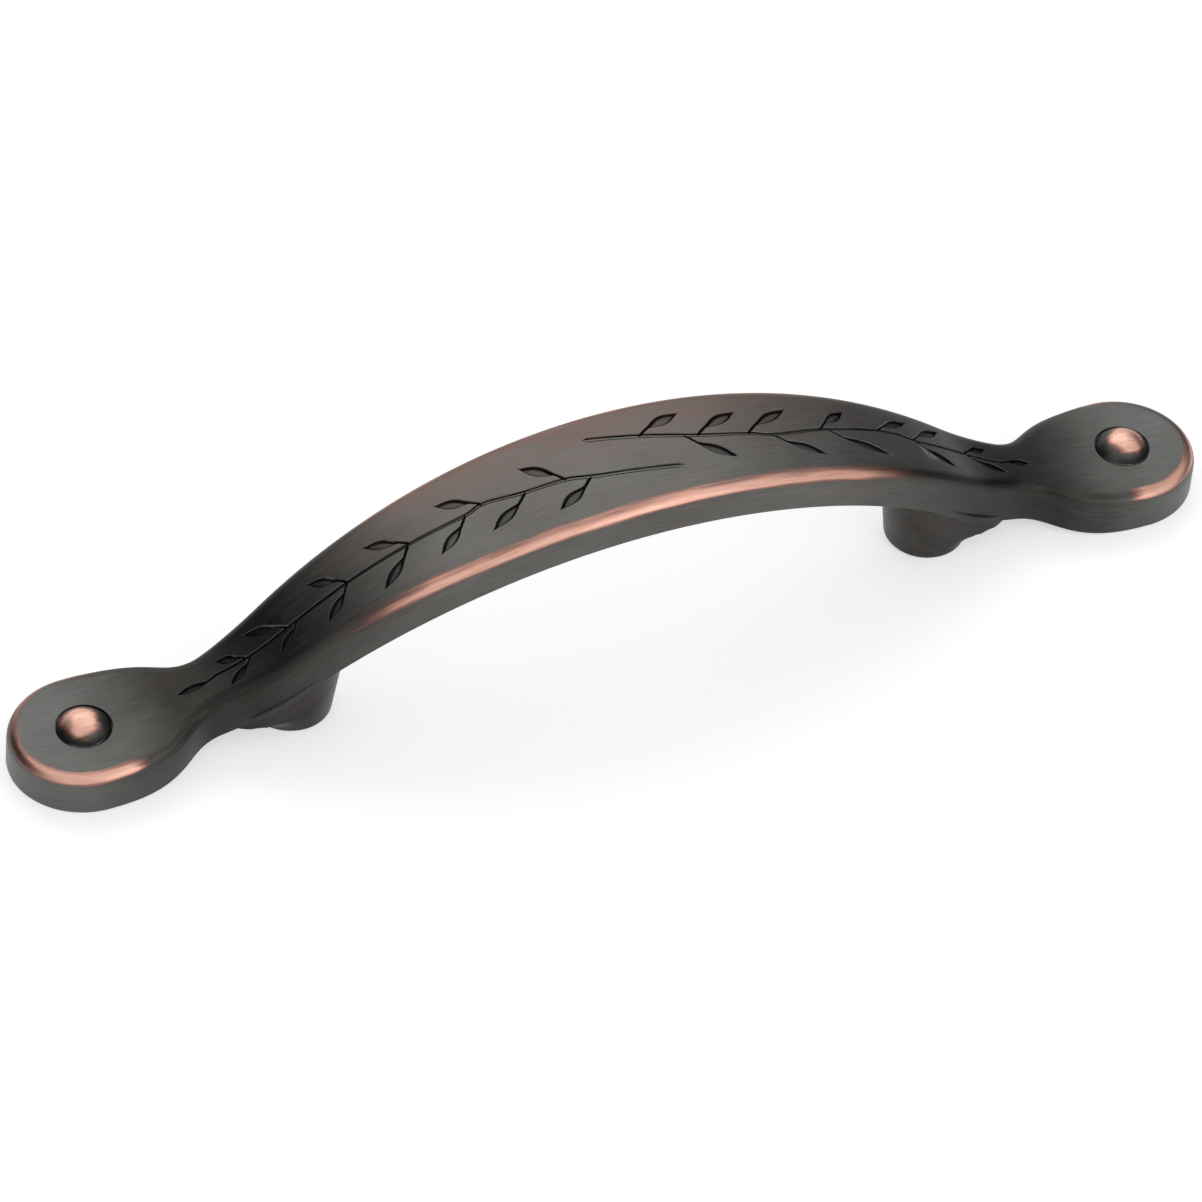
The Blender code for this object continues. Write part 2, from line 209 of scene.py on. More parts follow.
print("outline:", len(rim), "points, neck", round(2 * float(half_width(NECK_X)) / MM, 2), "mm wide")

# %% [markdown]
# The outline becomes a flat plate, and its rim is rounded while it is still flat, where a bevel has only
# clean edges to follow. An inset gives the flat top a ring of its own, so that the wear of the edge fades
# out inside it. Then the plate is sliced across at short steps, and each point is lifted to the arch. The
# top follows the upper arc and the bottom the lower one, so the bar gets its real thickness everywhere.

# %% Plate, rounded rim and arch
PLATE = 5.0 * MM
TOP_EDGE_RADIUS = 1.4 * MM
TOP_EDGE_STEPS = 8
UNDER_EDGE_RADIUS = 0.20 * MM
UNDER_EDGE_STEPS = 3
TOP_INSET = 1.6 * MM
SLICE = 0.6 * MM
LOOKS_UP = 0.99
FEW_CORNERS = 10

pull = outline
pull.name = "pull_casting"
bpy.ops.object.mode_set(mode="EDIT")
bpy.ops.mesh.select_all(action="SELECT")
bpy.ops.mesh.remove_doubles(threshold=HAIR)
bpy.ops.mesh.edge_face_add()
bpy.ops.mesh.extrude_region_move(TRANSFORM_OT_translate={"value": (0, 0, PLATE)})
bpy.ops.mesh.select_all(action="SELECT")
bpy.ops.mesh.normals_make_consistent(inside=False)
edges = ((PLATE, TOP_EDGE_RADIUS, TOP_EDGE_STEPS), (0.0, UNDER_EDGE_RADIUS, UNDER_EDGE_STEPS))
for height, radius, steps in edges:
    pick(pull, "edges", lambda edge: all(abs(vert.co.z - height) < HAIR for vert in edge.verts))
    bpy.ops.mesh.bevel(offset=radius, segments=steps, profile=0.5, affect="EDGES", clamp_overlap=False)

# The flat top is the only face that looks up and has more than a few corners
pick(pull, "faces", lambda face: face.normal.z > LOOKS_UP and len(face.verts) > FEW_CORNERS)
bpy.ops.mesh.inset(thickness=TOP_INSET)
slices = int(2 * HALF_LENGTH / SLICE)
for step in range(1, slices):
    cut_x = -HALF_LENGTH + 2 * HALF_LENGTH * step / slices
    bpy.ops.mesh.select_all(action="SELECT")
    bpy.ops.mesh.bisect(plane_co=(cut_x, 0, 0), plane_no=(1, 0, 0), threshold=HAIR)
bpy.ops.object.mode_set(mode="OBJECT")
places = vertex_places(pull)
lifted_top = top_height(places[:, 0]) + places[:, 2] - PLATE
lifted_under = under_height(places[:, 0]) + places[:, 2]
places[:, 2] = np.where(places[:, 2] > PLATE / 2, lifted_top, lifted_under)
move_vertices(pull, places)
print("bar:", len(pull.data.vertices), "points after", slices - 1, "slices")

# %% [markdown]
# Each screw post is a tapered boss, and a web sweeps from it out to the neck. In the real casting the two
# run into each other without a line, so they are one loft here: a circle is extruded upwards, ring by
# ring, and each ring is stretched towards the neck as far as the sweep reaches at that height. A stretched
# ring is squarer than an ellipse, so that the web fills the width of the neck. The top ring has to follow
# the bar's sloping underside, and where a point stands depends on how high it is, so its place is worked
# out a few times over until it settles.

# %% Screw posts with their webs
POST_FOOT_RADIUS = 4.5 * MM
POST_DRAFT = radians(7.0)
POST_SIDES = 96
POST_RINGS = 28
SETTLING_ROUNDS = 12
POST_SINK = 0.8 * MM
FOOT_FILLET = 0.45 * MM
WEB_REACH = 9.0 * MM
WEB_FULLNESS = 0.45
WEB_TOP = float(under_height(POST_X + WEB_REACH))


def web_reach(height):
    """How far the post and its web reach towards the neck at a height."""
    share = np.clip(height / WEB_TOP, 0, 1)
    sweep = 1 - np.sqrt(1 - share ** 2)
    return POST_FOOT_RADIUS + (WEB_REACH - POST_FOOT_RADIUS) * sweep


def post_place(side, angle, share):
    """A point of the post's skin: its angle round the post, its share of the way up to the bar."""
    x, y, height = 0.0, 0.0, 0.0
    for _ in range(SETTLING_ROUNDS):
        # The rings are closer together at the foot and under the bar, where the skin bends most
        height = (1 - cos(pi * share)) / 2 * (float(under_height(side * POST_X + x)) + POST_SINK)
        radius = POST_FOOT_RADIUS + height * tan(POST_DRAFT)
        if height < FOOT_FILLET:
            radius -= FOOT_FILLET - sqrt(FOOT_FILLET ** 2 - (FOOT_FILLET - height) ** 2)
        reach = max(radius, float(web_reach(height)))
        spread_to = radius
        if cos(angle) > 0:
            stretch = min(1.0, (reach - radius) / (WEB_REACH - POST_FOOT_RADIUS))
            power = 2 / (1 - WEB_FULLNESS * stretch)
            spread_to = (cos(angle) / reach) ** power + (abs(sin(angle)) / radius) ** power
            spread_to = spread_to ** (-1 / power)
        x, y = side * spread_to * cos(angle), spread_to * sin(angle)
    return side * POST_X + x, y, height


def make_post(side):
    bpy.ops.object.select_all(action="DESELECT")
    bpy.ops.mesh.primitive_circle_add(vertices=POST_SIDES, radius=POST_FOOT_RADIUS, fill_type="NGON")
    post = bpy.context.active_object
    bpy.ops.object.mode_set(mode="EDIT")
    for _ in range(POST_RINGS):
        bpy.ops.mesh.extrude_region_move(TRANSFORM_OT_translate={"value": (0, 0, MM)})
    bpy.ops.object.mode_set(mode="OBJECT")
    places = vertex_places(post)
    for row, (across_x, across_y, ring_height) in enumerate(places.copy()):
        share = round(ring_height / MM) / POST_RINGS
        places[row] = post_place(side, atan2(across_y, across_x), share)
    move_vertices(post, places)
    bpy.ops.object.mode_set(mode="EDIT")
    bpy.ops.mesh.select_all(action="SELECT")
    bpy.ops.mesh.normals_make_consistent(inside=False)
    bpy.ops.object.mode_set(mode="OBJECT")
    return post


for side in (1, -1):
    combine(pull, make_post(side), "UNION")
print("with posts:", len(pull.data.vertices), "points")

# %% [markdown]
# The screws come from inside the drawer into a tapped hole in each post. The hole is cut with a cylinder
# of the thread's core size, which runs a little past the foot so that the two faces don't lie in one plane.

# %% Screw holes
SCREW_HOLE_RADIUS = 1.75 * MM
SCREW_HOLE_DEPTH = 8.5 * MM
SCREW_HOLE_SIDES = 64
OVERRUN = 1.0 * MM

for side in (1, -1):
    bpy.ops.object.select_all(action="DESELECT")
    bpy.ops.mesh.primitive_cylinder_add(
        vertices=SCREW_HOLE_SIDES, radius=SCREW_HOLE_RADIUS, depth=SCREW_HOLE_DEPTH + OVERRUN,
        location=(side * POST_X, 0, (SCREW_HOLE_DEPTH - OVERRUN) / 2),
    )
    combine(pull, bpy.context.active_object, "DIFFERENCE")
print("with holes:", len(pull.data.vertices), "points")

# %% [markdown]
# Each head carries a domed bead in a fine ring groove. The recess is cut with a cylinder. The bead is the
# cap of a sphere: the sphere is bisected just above the floor of the recess, and the open edge is
# extruded down into it.

# %% Ring grooves and beads
RING_RADIUS = 3.15 * MM
RING_DEPTH = 0.25 * MM
GROOVE_WIDTH = 0.13 * MM
BEAD_RISE = 1.5 * MM
BEAD_RADIUS = RING_RADIUS - GROOVE_WIDTH
BEAD_SKIRT = 0.1 * MM
BEAD_SINK = 0.4 * MM
RING_SIDES = 96
head_top = float(top_height(HEAD_X))
cap_height = BEAD_RISE + RING_DEPTH - BEAD_SKIRT
ball_radius = (BEAD_RADIUS ** 2 + cap_height ** 2) / (2 * cap_height)
skirt_height = head_top - RING_DEPTH + BEAD_SKIRT

for side in (1, -1):
    bpy.ops.object.select_all(action="DESELECT")
    bpy.ops.mesh.primitive_cylinder_add(
        vertices=RING_SIDES, radius=RING_RADIUS, depth=RING_DEPTH + OVERRUN,
        location=(side * HEAD_X, 0, head_top + (OVERRUN - RING_DEPTH) / 2),
    )
    combine(pull, bpy.context.active_object, "DIFFERENCE")
    bpy.ops.object.select_all(action="DESELECT")
    bpy.ops.mesh.primitive_uv_sphere_add(
        segments=RING_SIDES, ring_count=RING_SIDES, radius=ball_radius,
        location=(side * HEAD_X, 0, head_top + BEAD_RISE - ball_radius), rotation=(0, 0, pi / RING_SIDES),
    )
    bead = bpy.context.active_object
    bpy.ops.object.transform_apply()
    bpy.ops.object.mode_set(mode="EDIT")
    bpy.ops.mesh.select_all(action="SELECT")
    bpy.ops.mesh.bisect(
        plane_co=(0, 0, skirt_height), plane_no=(0, 0, 1), clear_inner=True, threshold=HAIR
    )
    pick(bead, "edges", lambda edge: edge.is_boundary)
    bpy.ops.mesh.extrude_region_move(TRANSFORM_OT_translate={"value": (0, 0, -BEAD_SKIRT - BEAD_SINK)})
    bpy.ops.mesh.edge_face_add()
    bpy.ops.mesh.select_all(action="SELECT")
    bpy.ops.mesh.normals_make_consistent(inside=False)
    bpy.ops.object.mode_set(mode="OBJECT")
    combine(pull, bead, "UNION")
print("with beads:", len(pull.data.vertices), "points")

# %% [markdown]
# Two sprigs are carved into the bar, one on each half, and they differ a little, as carving by hand does.
# The tables give each stem's path and where each leaf leaves it and ends. The first number of a point is
# its place between the middle of the bar (0) and the neck (1), the second its place between the centre
# line (0) and the edge (1 or -1).

# %% Sprigs
LEFT_STEM = (
    (-0.12, -0.36), (0.07, -0.17), (0.15, -0.05), (0.25, -0.01), (0.34, 0.09), (0.39, 0.03),
    (0.51, 0.03), (0.65, 0.01), (0.78, -0.05), (0.89, -0.09), (0.98, -0.03),
)
LEFT_LEAVES = (
    (0.095, (0.199, -0.54)), (0.149, (0.237, 0.44)), (0.245, (0.353, -0.45)),
    (0.342, (0.440, 0.455)), (0.386, (0.475, -0.46)), (0.517, (0.612, 0.46)),
    (0.523, (0.612, -0.56)), (0.666, (0.743, 0.52)), (0.668, (0.741, -0.555)),
    (0.788, (0.846, -0.52)), (0.809, (0.896, 0.57)), (0.896, (0.963, -0.62)),
    (0.905, (0.970, 0.40)), (0.975, (1.075, -0.03)),
)
RIGHT_STEM = (
    (-0.07, 0.52), (0.06, 0.33), (0.19, 0.14), (0.31, 0.05), (0.37, -0.01), (0.49, 0.07),
    (0.63, 0.16), (0.70, 0.16), (0.75, 0.06), (0.88, 0.08), (0.98, -0.04),
)
RIGHT_LEAVES = (
    (0.056, (0.176, 0.63)), (0.156, (0.255, -0.40)), (0.187, (0.309, 0.52)),
    (0.307, (0.436, 0.53)), (0.363, (0.477, -0.51)), (0.492, (0.585, 0.56)),
    (0.512, (0.651, -0.49)), (0.647, (0.749, 0.60)), (0.737, (0.835, 0.64)),
    (0.740, (0.828, -0.56)), (0.873, (0.952, 0.50)), (0.880, (0.975, -0.45)),
    (0.970, (1.050, -0.02)),
)
STEM_WIDTH = 0.66 * MM
STEM_TIP_WIDTH = 0.35 * MM
LEAF_WIDTH = 1.6 * MM
LEAF_WIDTH_AT_NECK = 1.15 * MM
STALK_WIDTH = 0.40 * MM
STEM_STEPS = 8
STEM_END_SHARE = 0.012
LEAF_STEPS = 14
LEAF_STALK_SHARE = 0.26
LEAF_BEND = 0.05
LEAF_FULLEST = 0.9
LEAF_POINT = 1.35


def on_bar(side, along, across):
    x = side * along * NECK_X
    return np.array([x, across * float(half_width(x))])


def smooth_path(points, steps):
    """Points of a smooth curve through the given points."""
    path = []
    last = len(points) - 1
    for index in range(last):
        start, end = points[index], points[index + 1]
        before, after = points[max(index - 1, 0)], points[min(index + 2, last)]
        for step in range(steps):
            t = step / steps
            leave = start + (end - before) / 6
            arrive = end - (after - start) / 6
            path.append(
                start * (1 - t) ** 3 + leave * 3 * t * (1 - t) ** 2
                + arrive * 3 * t ** 2 * (1 - t) + end * t ** 3
            )
    return path + [points[-1]]


# %% [markdown]
# A leaf in such carving isn't a flat pocket. A dark groove runs round it, and the blade swells up again in
# the middle. The table gives that section: the distance in from the edge, and the depth there. Every stem
# and leaf cutter is a grid laid along its path with this section, so a narrow stem gets a plain groove and
# a wide leaf gets its pillow. The grid lies along the arch, is extruded upwards to make it solid, and is
# cut away from the bar. The section starts a little above the surface, so the two cross at a clear angle.
# Each cut also wobbles by a few hundredths of a millimetre, as a hand does. That keeps the floors of two
# crossing cuts from lying in one plane, which a Boolean can't sort out. The cuts are made one at a time,
# and a cut that leaves the casting open is taken back and made again with another wobble.

# %% Carving
LEAF_SECTION = (
    (0.0, -0.07 * MM), (0.13 * MM, 0.06 * MM), (0.17 * MM, 0.37 * MM),
    (0.25 * MM, 0.44 * MM), (0.42 * MM, 0.28 * MM), (0.99 * MM, 0.22 * MM),
)
STEM_SECTION = (
    (0.0, -0.05 * MM), (0.08 * MM, 0.05 * MM), (0.12 * MM, 0.34 * MM),
    (0.20 * MM, 0.38 * MM), (0.28 * MM, 0.12 * MM), (0.99 * MM, 0.10 * MM),
)
GROOVE_LIP = 0.07 * MM
CUT_WOBBLE = 0.02 * MM
POINT_WOBBLE = 0.005 * MM
MOST_TRIES = 8
HAND_SEED = 3


def make_groove(path, half_widths, section):
    """A solid cutter along a path, as wide as the half widths say, with the section under it."""
    columns = 2 * len(section) - 1
    insets, depths = zip(*section)
    bpy.ops.object.select_all(action="DESELECT")
    bpy.ops.mesh.primitive_grid_add(x_subdivisions=len(path) - 1, y_subdivisions=columns - 1, size=1.0)
    cutter = bpy.context.active_object
    places = vertex_places(cutter)
    for row, (u, v, _) in enumerate(places.copy()):
        station = round((u + 0.5) * (len(path) - 1))
        column = round((v + 0.5) * (columns - 1))
        ahead = path[min(station + 1, len(path) - 1)]
        behind = path[max(station - 1, 0)]
        direction = (ahead - behind) / np.linalg.norm(ahead - behind)
        reach = half_widths[station] + GROOVE_LIP
        inset = min(insets[min(column, columns - 1 - column)], reach)
        offset = (reach - inset) * (1 if column < columns / 2 - 0.5 else -1)
        x, y = path[station] + np.array([-direction[1], direction[0]]) * offset
        places[row] = (x, y, float(top_height(x)) - np.interp(inset, insets, depths))
    move_vertices(cutter, places)
    bpy.ops.object.mode_set(mode="EDIT")
    bpy.ops.mesh.select_all(action="SELECT")
    bpy.ops.mesh.extrude_region_move(TRANSFORM_OT_translate={"value": (0, 0, OVERRUN)})
    bpy.ops.mesh.select_all(action="SELECT")
    bpy.ops.mesh.remove_doubles(threshold=HAIR)
    bpy.ops.mesh.normals_make_consistent(inside=False)
    bpy.ops.object.mode_set(mode="OBJECT")
    return cutter


def make_stem(side, points):
    path = smooth_path([on_bar(side, along, across) for along, across in points], STEM_STEPS)
    shares = np.linspace(0, 1, len(path))
    widths = (STEM_WIDTH + (STEM_TIP_WIDTH - STEM_WIDTH) * shares) / 2
    widths *= np.clip(np.minimum(shares, 1 - shares) / STEM_END_SHARE, 0, 1) ** 0.5
    return path, make_groove(path, widths, STEM_SECTION)


def point_on_stem(stem, x):
    """The point where a stem's path passes a place along the pull."""
    ordered = np.array(sorted(tuple(point) for point in stem))
    return np.array([x, np.interp(x, ordered[:, 0], ordered[:, 1])])


def make_leaf(root, tip):
    chord = tip - root
    outward = np.array([-chord[1], chord[0]])
    if outward[1] * chord[1] < 0:
        outward = -outward
    blade_start = root + chord * LEAF_STALK_SHARE + outward * LEAF_BEND
    blade = (LEAF_WIDTH + (LEAF_WIDTH_AT_NECK - LEAF_WIDTH) * abs(tip[0]) / NECK_X) / 2
    path = [root, root * 0.5 + blade_start * 0.5]
    widths = [STALK_WIDTH / 2, STALK_WIDTH / 2]
    for step in range(LEAF_STEPS + 1):
        share = step / LEAF_STEPS
        path.append(blade_start + (tip - blade_start) * share)
        narrow = STALK_WIDTH / 2 * (1 - share)
        widths.append(narrow + (blade - narrow) * sin(pi * share ** LEAF_FULLEST) ** LEAF_POINT)
    widths[-1] = 0.0
    return make_groove(path, widths, LEAF_SECTION)


def count_open_edges(body):
    """How many edges don't have exactly two faces, or -1 where nothing is left of the body."""
    select_only(body)
    bpy.ops.object.mode_set(mode="EDIT")
    count = pick(body, "edges", lambda edge: len(edge.link_faces) != 2)
    bpy.ops.object.mode_set(mode="OBJECT")
    return count if len(body.data.polygons) else -1


def cut_cleanly(body, cutter, hand):
    """Cut with a wobbling copy of the cutter until the body stays closed. Returns the number of tries."""
    uncut = body.data.copy()
    for attempt in range(MOST_TRIES):
        copy = cutter.copy()
        copy.data = cutter.data.copy()
        bpy.context.collection.objects.link(copy)
        places = vertex_places(copy)
        places[:, 2] += hand.uniform(-CUT_WOBBLE, CUT_WOBBLE)
        move_vertices(copy, places + hand.uniform(-POINT_WOBBLE, POINT_WOBBLE, places.shape))
        combine(body, copy, "DIFFERENCE")
        if count_open_edges(body) == 0:
            break
        body.data = uncut.copy()
    bpy.data.objects.remove(cutter)
    return attempt + 1


stems, upper_leaves, lower_leaves = [], [], []
for side, stem_points, leaves in ((-1, LEFT_STEM, LEFT_LEAVES), (1, RIGHT_STEM, RIGHT_LEAVES)):
    stem_path, stem_cutter = make_stem(side, stem_points)
    stems.append(stem_cutter)
    for root_along, tip_place in leaves:
        root = point_on_stem(stem_path, side * root_along * NECK_X)
        tip = on_bar(side, *tip_place)
        leaf = make_leaf(root, tip)
        (lower_leaves if tip[1] < root[1] else upper_leaves).append(leaf)
print("cutters:", len(stems), "stems,", len(lower_leaves) + len(upper_leaves), "leaves")

hand = np.random.default_rng(HAND_SEED)
tries = [cut_cleanly(pull, cutter, hand) for cutter in stems + lower_leaves + upper_leaves]
print("cuts:", len(tries), "tries for each:", tries)
print("with carving:", len(pull.data.vertices), "points")

# %% [markdown]
# Cutting leaves points that all but coincide, so they are merged, and the normals are set outwards. Faces
# that meet at less than 30 degrees are shaded as one smooth surface, so the arch and the beads look round
# while the lips of the carving stay crisp.

# %% Tidy the mesh and smooth its shading
SMOOTH_BELOW = radians(30)

select_only(pull)
bpy.ops.object.mode_set(mode="EDIT")
bpy.ops.mesh.select_all(action="SELECT")
bpy.ops.mesh.remove_doubles(threshold=HAIR / 2)
bpy.ops.mesh.normals_make_consistent(inside=False)
open_edges = pick(pull, "edges", lambda edge: len(edge.link_faces) != 2)
bpy.ops.object.mode_set(mode="OBJECT")
bpy.ops.object.shade_smooth_by_angle(angle=SMOOTH_BELOW)
print("casting:", len(pull.data.polygons), "faces,", open_edges, "open edges")

# %% [markdown]
# The finish follows the form, so the mesh will carry the values that the material reads. They all come
# from a few distances, which are worked out here for every point at once: how far it lies below the top,
# how far in from the rim, how far round the rim, and how far over the rounded edge. The rim is a closed
# loop of short straight lines, and each point takes its distance from the nearest one.

# %% Distances over the casting
FAR_AWAY = 1.0
UNDERSIDE_MARGIN = 0.3 * MM

places = vertex_places(pull)
x, y, z = places.T
from_middle = np.abs(x)
from_bead = np.hypot(from_middle - HEAD_X, y)
below_top = top_height(x) - z
on_bar_or_head = z > under_height(x) - UNDERSIDE_MARGIN
from_edge = np.full(len(places), FAR_AWAY)
around = np.zeros(len(places))
travelled = 0.0
for start, end in zip(np.roll(rim, 1, axis=0), rim):
    step = end - start
    share = np.clip(((places[:, :2] - start) @ step) / (step @ step), 0, 1)
    distance = np.linalg.norm(places[:, :2] - start - share[:, None] * step, axis=1)
    around = np.where(distance < from_edge, travelled + share * np.linalg.norm(step), around)
    from_edge = np.minimum(from_edge, distance)
    travelled += np.linalg.norm(step)

# Millimetres over the rounded edge: below 0 on the top, then round the edge, then down the side. The wear
# on the heads is narrow, so their distances on the top count three times
HEAD_WEAR_NARROWING = 3
turned = np.arcsin(np.clip(1 - from_edge / TOP_EDGE_RADIUS, 0, 1)) * TOP_EDGE_RADIUS
over_edge = np.where(from_edge > TOP_EDGE_RADIUS, TOP_EDGE_RADIUS - from_edge, turned)
on_side = below_top > TOP_EDGE_RADIUS + HAIR
over_edge = np.where(on_side, pi / 2 * TOP_EDGE_RADIUS + below_top - TOP_EDGE_RADIUS, over_edge) / MM
on_head_top = (over_edge < 0) & (from_middle > NECK_X)
over_edge = np.where(on_head_top, HEAD_WEAR_NARROWING * over_edge, over_edge)
print("rim:", round(travelled / MM, 1), "mm round")

# %% [markdown]
# A hand rubs the middle of the near edge and the ends of the heads, and the crown of each bead, a little
# towards the end of the pull. The dark finish stays where a cloth doesn't reach, down in the carving. Round
# the foot of each bead it is patina and painted shade, darkest on the near and outer side. Each kind of
# wear or shade fades in between two places, which are given as a pair: where there is none yet, and where
# it is full.

# %% Wear, patina and painted shade
BAR_RUB = (40 * MM, 25 * MM)
LEFT_HEAD_RUB = (56.5 * MM, 59.5 * MM)
RIGHT_HEAD_RUB = (58.5 * MM, 61.5 * MM)
NEAR_SIDE = (1 * MM, -5 * MM)
FAR_SIDE_SHARE = 0.5
CROWN_RUB = (2.8 * MM, 1.3 * MM)
CROWN_SHIFT = 0.6 * MM
CROWN_STRENGTH = 1.25
# The foot of each bead is darker on its near and outer side: patina with painted shade
FOOT_SHADE = (0.64 * BEAD_RADIUS, 0.92 * BEAD_RADIUS)
SHADED_SIDE = (0.6, -0.8)
SHADED_SIDE_START = 0.4
GROOVE_SHADE = (0.14 * MM, 0.36 * MM)
RING_SHARE = 0.25
LIP_TOP, LIP_FOOT = 0.01 * MM, 0.12 * MM
TOP_ZONE = PLATE / 3


def fade(value, limits):
    """0 up to the first limit, 1 from the second, and a straight line between them."""
    none, full = limits
    return np.clip((value - none) / (full - none), 0, 1)


along_head = np.where(x < 0, fade(from_middle, LEFT_HEAD_RUB), fade(from_middle, RIGHT_HEAD_RUB))
near_side = FAR_SIDE_SHARE + (1 - FAR_SIDE_SHARE) * fade(y, NEAR_SIDE)
rub = np.where(on_bar_or_head, np.maximum(fade(from_middle, BAR_RUB), along_head) * near_side, 0)

on_bead = (from_bead < BEAD_RADIUS + HAIR) & (z > head_top - RING_DEPTH)
# Painted shade round the foot of each bead, darkest towards the near side and the end of the pull
toward_shaded_side = (SHADED_SIDE[0] * (from_middle - HEAD_X) + SHADED_SIDE[1] * y) / BEAD_RADIUS
bead_foot_patina_and_shade = fade(from_bead, FOOT_SHADE) * on_bead * np.clip(SHADED_SIDE_START + toward_shaded_side, 0, 1)
off_crown = np.hypot(from_middle - HEAD_X - CROWN_SHIFT, y)
crown = np.where(on_bead, CROWN_STRENGTH * fade(off_crown, CROWN_RUB), 0)
crown = np.minimum(crown, 1 - bead_foot_patina_and_shade)

# Depth in the carving and the rings, and painted shade at the foot of each bead; the lip of each cut has no
# shade of its own
on_top = (below_top < TOP_ZONE) & (from_edge > TOP_EDGE_RADIUS - HAIR)
lip = on_top & (below_top > LIP_TOP) & (below_top < LIP_FOOT)
patina_and_bead_shade = np.where(on_top, fade(below_top, GROOVE_SHADE), 0)
patina_and_bead_shade = np.where(from_bead < RING_RADIUS + HAIR, np.maximum(RING_SHARE * patina_and_bead_shade, bead_foot_patina_and_shade), patina_and_bead_shade)
patina_and_bead_shade = np.where(lip, 0.0, patina_and_bead_shade)
print("rubbed edge:", int((rub > 0.5).sum()), "points, carved:", int((patina_and_bead_shade > 0.5).sum()), "points")

# %% [markdown]
# The brush lightens the high places: the middle of the arch, the outer half of each head and the lips of
# the carving. On the middle of the arch and on the lips this is also painted highlight, where the soft box
# and the edges of the cuts would catch the light. Copper shines through thinly on the far half of the bar,
# and hardly at all on the heads and the posts.

# %% Brushed and warm places, with painted highlight
# The middle of the arch is lighter: brush wear and painted highlight
MIDDLE_BRUSHING_AND_HIGHLIGHT = (44 * MM, 22 * MM)
HEAD_BRUSHING = (52 * MM, 64 * MM)
POST_BRUSHING = 0.1
# The lips of the carving are lighter: brush wear and painted highlight
LIP_BRUSHING_AND_HIGHLIGHT = 0.9
WARM_MIDDLE = (36 * MM, 16 * MM)
WARM_FAR_SIDE = (-1 * MM, 6 * MM)
WARM_EVERYWHERE, WARM_ON_ARCH, WARM_FAR = 0.1, 0.15, 0.75

middle = fade(from_middle, MIDDLE_BRUSHING_AND_HIGHLIGHT)
# Lighter grey from the brush, and painted highlight on the middle of the arch
brushing_and_light = np.where(on_bar_or_head, np.maximum(middle, fade(from_middle, HEAD_BRUSHING)), POST_BRUSHING)
# Painted highlight along the lips, together with their brush wear
brushing_and_light = np.where(lip, brushing_and_light + LIP_BRUSHING_AND_HIGHLIGHT, brushing_and_light)
warm = WARM_EVERYWHERE + WARM_ON_ARCH * middle
thin_far = WARM_FAR * fade(from_middle, WARM_MIDDLE) * fade(y, WARM_FAR_SIDE)
warm += np.where(below_top < BAR_THICKNESS, thin_far, 0)
print("warmest place:", round(float(warm.max()), 2))

# %% [markdown]
# Brushed metal has a grain. On the top it runs along the pull, and it follows the arch when it is drawn on
# the place along, across and below the top instead of on plain coordinates. On the rounded edge and the
# sides it follows the rim. The two don't join, so the grain is kept at the corners of the faces: two faces
# can then share a point and still have their own grain. A face that crosses the start of the rim gets the
# full length added to its low corners, so that the grain doesn't run backwards through it.

# %% Grain, and the values on the mesh
START_SHARE = 0.1

corner_points = np.empty(len(pull.data.loops), dtype=int)
pull.data.loops.foreach_get("vertex_index", corner_points)
face_starts = np.empty(len(pull.data.polygons), dtype=int)
pull.data.polygons.foreach_get("loop_start", face_starts)
face_sizes = np.empty(len(pull.data.polygons), dtype=int)
pull.data.polygons.foreach_get("loop_total", face_sizes)
is_rim_point = on_bar_or_head & (from_edge < TOP_EDGE_RADIUS + HAIR)
is_rim_face = np.minimum.reduceat(is_rim_point[corner_points], face_starts)
follows_rim = np.repeat(is_rim_face, face_sizes)[:, None]
lengthwise = np.column_stack((x, y, -below_top))[corner_points]
along_rim = np.column_stack((around, np.zeros(len(x)), -over_edge * MM))[corner_points]
furthest_round = np.repeat(np.maximum.reduceat(along_rim[:, 0], face_starts), face_sizes)
crosses_start = furthest_round > (1 - START_SHARE) * travelled
is_past_start = along_rim[:, 0] < START_SHARE * travelled
along_rim[:, 0] += np.where(crosses_start & is_past_start, travelled, 0)
grain = np.where(follows_rim, along_rim, lengthwise)

point_values = {
    "over_edge": over_edge, "rub": rub, "crown": crown, "patina_and_bead_shade": patina_and_bead_shade, "brushing_and_light": brushing_and_light, "warm": warm,
}
for name, values in point_values.items():
    pull.data.attributes.new(name, "FLOAT", "POINT").data.foreach_set("value", values)
pull.data.attributes.new("grain", "FLOAT_VECTOR", "CORNER").data.foreach_set("vector", grain.ravel())
print("values on the mesh:", ", ".join(point_values), "and grain")
print("grain follows the rim on", int(is_rim_face.sum()), "faces")

# %% [markdown]
# Colours are written as the hex values that a picture shows, and one function turns them into the linear
# light that Blender counts in. One more small function adds a shader node with its settings and links.

# %% Colour and node helpers
def linear(hex_colour):
    channels = [int(hex_colour[index:index + 2], 16) / 255 for index in (1, 3, 5)]
    light = [c / 12.92 if c <= 0.04045 else ((c + 0.055) / 1.055) ** 2.4 for c in channels]
    return (*light, 1.0)


def add_node(tree, kind, inputs=None, **settings):
    node = tree.nodes.new(kind)
    for name, value in settings.items():
        setattr(node, name, value)
    for name, value in (inputs or {}).items():
        if isinstance(value, bpy.types.NodeSocket):
            tree.links.new(value, node.inputs[name])
        else:
            node.inputs[name].default_value = value
    return node


def new_material(name):
    material = bpy.data.materials.new(name)
    material.use_nodes = True
    material.node_tree.nodes.clear()
    return material, material.node_tree


